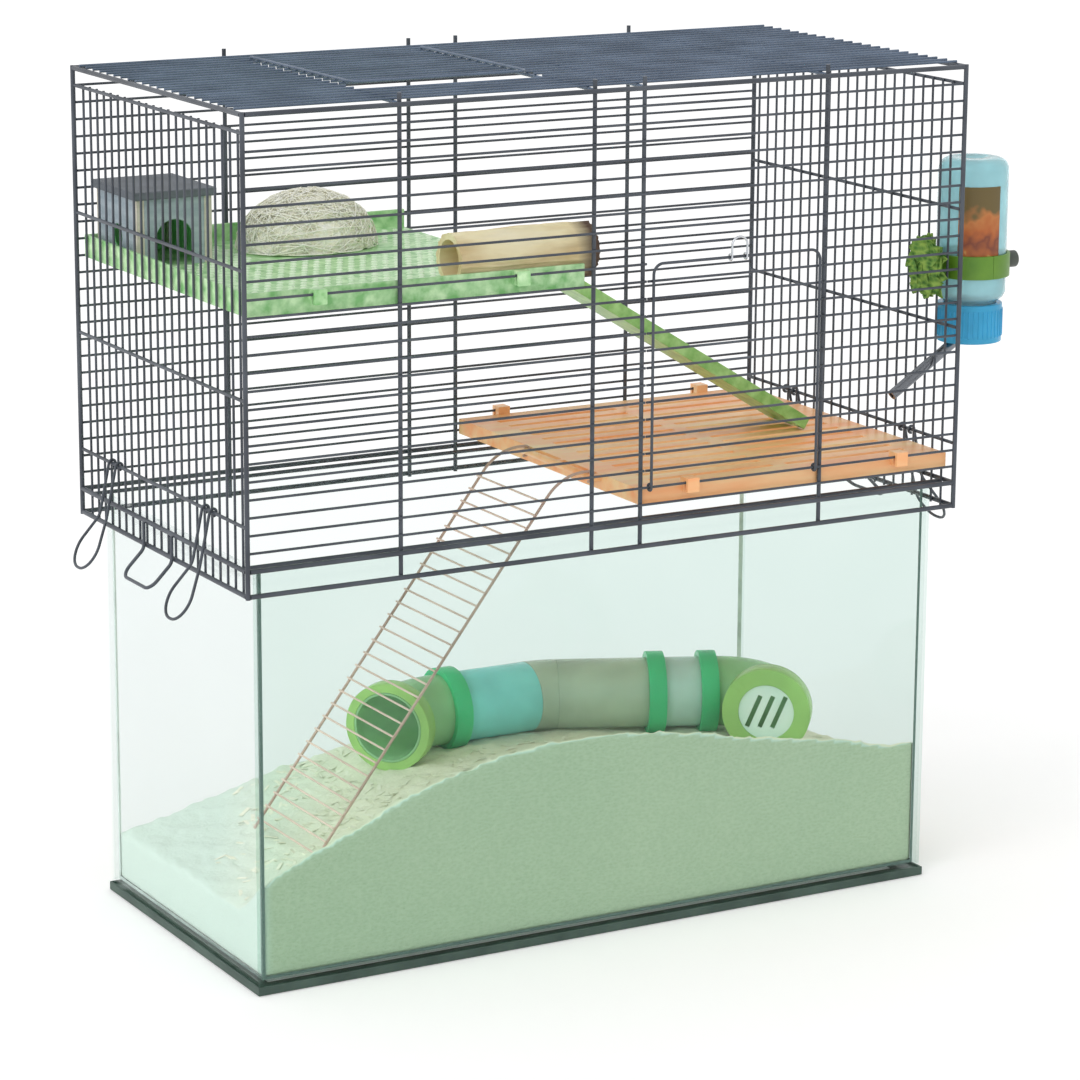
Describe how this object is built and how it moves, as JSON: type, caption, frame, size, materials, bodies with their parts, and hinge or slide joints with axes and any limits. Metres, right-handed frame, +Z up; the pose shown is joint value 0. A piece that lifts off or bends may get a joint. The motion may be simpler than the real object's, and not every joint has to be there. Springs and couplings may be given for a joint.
{
  "type": "rodent cage",
  "caption": "Glass tank of bedding under a lift-off wire top with a drop-down door, top door, platform, ramp, shelf, ladder, toy tunnel and hanging water bottle.",
  "frame": {"origin": "middle of the face that the tank stands on", "axes": "+Z up, +X to the right along the front, +Y to the back"},
  "size_m": [0.7041, 0.3033, 0.647],
  "materials": {
    "glass": "clear float glass with a faint green tint",
    "silicone": "cured translucent sealant",
    "trim": "satin moulded edging",
    "bedding": "loose shredded plant fibre",
    "tunnel_green": "glossy moulded coupling",
    "tunnel_lime": "glossy moulded end piece",
    "tunnel_blue": "see-through tinted tube",
    "tunnel_grey": "smoky see-through tube",
    "tunnel_mint": "see-through tinted tube",
    "tunnel_grille": "slotted end plate",
    "wire": "satin coated steel wire",
    "latch": "zinc-plated spring wire",
    "platform_green": "moulded tray with grip dots",
    "ramp_green": "moulded ribbed ramp",
    "pin_steel": "plain steel pin",
    "shelf_orange": "moulded slatted shelf",
    "ladder_coat": "plastic-coated wire",
    "log_bark": "pale hollow wood with dark bark ends",
    "house_grey": "painted board",
    "house_pale": "bare pale wood",
    "house_slate": "painted board",
    "hay": "loose dry hay",
    "bottle_blue": "see-through tinted bottle",
    "cap_blue": "ribbed screw cap",
    "seal": "flat washer",
    "spout_steel": "stainless tube and ball",
    "holder_green": "grained moulded holder",
    "knob_dark": "moulded peg"
  },
  "bodies": {
    "tank": {"base_trim": "trim", "floor_pane": "glass", "front_pane": "glass", "back_pane": "glass", "left_pane": "glass", "right_pane": "glass", "silicone_beads": "silicone", "bedding": "bedding", "tunnel_blue_ring": "tunnel_green", "tunnel_left_elbow": "tunnel_green", "tunnel_left_collar": "tunnel_lime", "tunnel_blue_tube": "tunnel_blue", "tunnel_grey_bend": "tunnel_grey", "tunnel_clear_tube": "tunnel_grey", "tunnel_first_ring": "tunnel_green", "tunnel_mint_tube": "tunnel_mint", "tunnel_second_ring": "tunnel_green", "tunnel_end_elbow": "tunnel_lime", "tunnel_end_ring": "tunnel_lime", "tunnel_end_grille": "tunnel_grille"},
    "wire_top": {"front_panel": "wire", "back_panel": "wire", "left_panel": "wire", "right_panel": "wire", "top_panel": "wire", "rest_wires": "wire", "locating_loops": "wire", "platform": "platform_green", "ramp_pin": "pin_steel", "shelf": "shelf_orange", "log_tunnel": "log_bark", "house_walls": "house_grey", "house_posts": "house_pale", "house_roof": "house_slate", "nest_hay": "hay", "holder_cradle": "holder_green", "holder_pad": "holder_green"},
    "front_door": {"front_door": "wire"},
    "door_latch": {"door_latch_loop": "latch"},
    "top_door": {"top_door": "wire"},
    "left_front_clip": {"left_front_clip": "wire"},
    "left_back_clip": {"left_back_clip": "wire"},
    "right_front_clip": {"right_front_clip": "wire"},
    "right_back_clip": {"right_back_clip": "wire"},
    "ramp": {"ramp": "ramp_green"},
    "ladder": {"ladder_rails": "ladder_coat", "ladder_rungs": "ladder_coat"},
    "water_bottle": {"bottle_body": "bottle_blue", "bottle_cap": "cap_blue", "bottle_seal": "seal", "bottle_spout": "spout_steel", "spout_ball": "spout_steel", "holder_strap": "holder_green", "strap_knob": "knob_dark"}
  },
  "joints": [
    {"name": "wire_top_lift", "type": "slide", "parent": "tank", "child": "wire_top", "axis": [0, 0, 1], "range_m": [0, 0.35]},
    {"name": "front_door_hinge", "type": "hinge", "parent": "wire_top", "child": "front_door", "pos_m": [0.09895, -0.14715, 0.3446], "axis": [1, 0, 0], "range_deg": [0, 150]},
    {"name": "latch_hinge", "type": "hinge", "parent": "front_door", "child": "door_latch", "pos_m": [0.09895, -0.14945, 0.511], "axis": [1, 0, 0], "range_deg": [0, 160]},
    {"name": "top_door_hinge", "type": "hinge", "parent": "wire_top", "child": "top_door", "pos_m": [-0.09895, 0.10939, 0.64175], "axis": [-1, 0, 0], "range_deg": [0, 150]},
    {"name": "left_front_clip_hinge", "type": "hinge", "parent": "wire_top", "child": "left_front_clip", "pos_m": [-0.2985, -0.08365, 0.35], "axis": [0, 1, 0], "range_deg": [0, 90]},
    {"name": "left_back_clip_hinge", "type": "hinge", "parent": "wire_top", "child": "left_back_clip", "pos_m": [-0.2985, 0.08365, 0.35], "axis": [0, 1, 0], "range_deg": [0, 90]},
    {"name": "right_front_clip_hinge", "type": "hinge", "parent": "wire_top", "child": "right_front_clip", "pos_m": [0.2985, -0.08365, 0.35], "axis": [0, -1, 0], "range_deg": [0, 90]},
    {"name": "right_back_clip_hinge", "type": "hinge", "parent": "wire_top", "child": "right_back_clip", "pos_m": [0.2985, 0.08365, 0.35], "axis": [0, -1, 0], "range_deg": [0, 90]},
    {"name": "ramp_hinge", "type": "hinge", "parent": "wire_top", "child": "ramp", "pos_m": [-0.0213, 0.004, 0.50675], "axis": [0, -1, 0], "range_deg": [0, 45]},
    {"name": "ladder_hinge", "type": "hinge", "parent": "wire_top", "child": "ladder", "pos_m": [0.01705, -0.026, 0.3396], "axis": [0, 1, 0], "range_deg": [0, 15]},
    {"name": "bottle_pull_off", "type": "slide", "parent": "wire_top", "child": "water_bottle", "axis": [1, 0, 0], "range_m": [0, 0.07]}
  ]
}
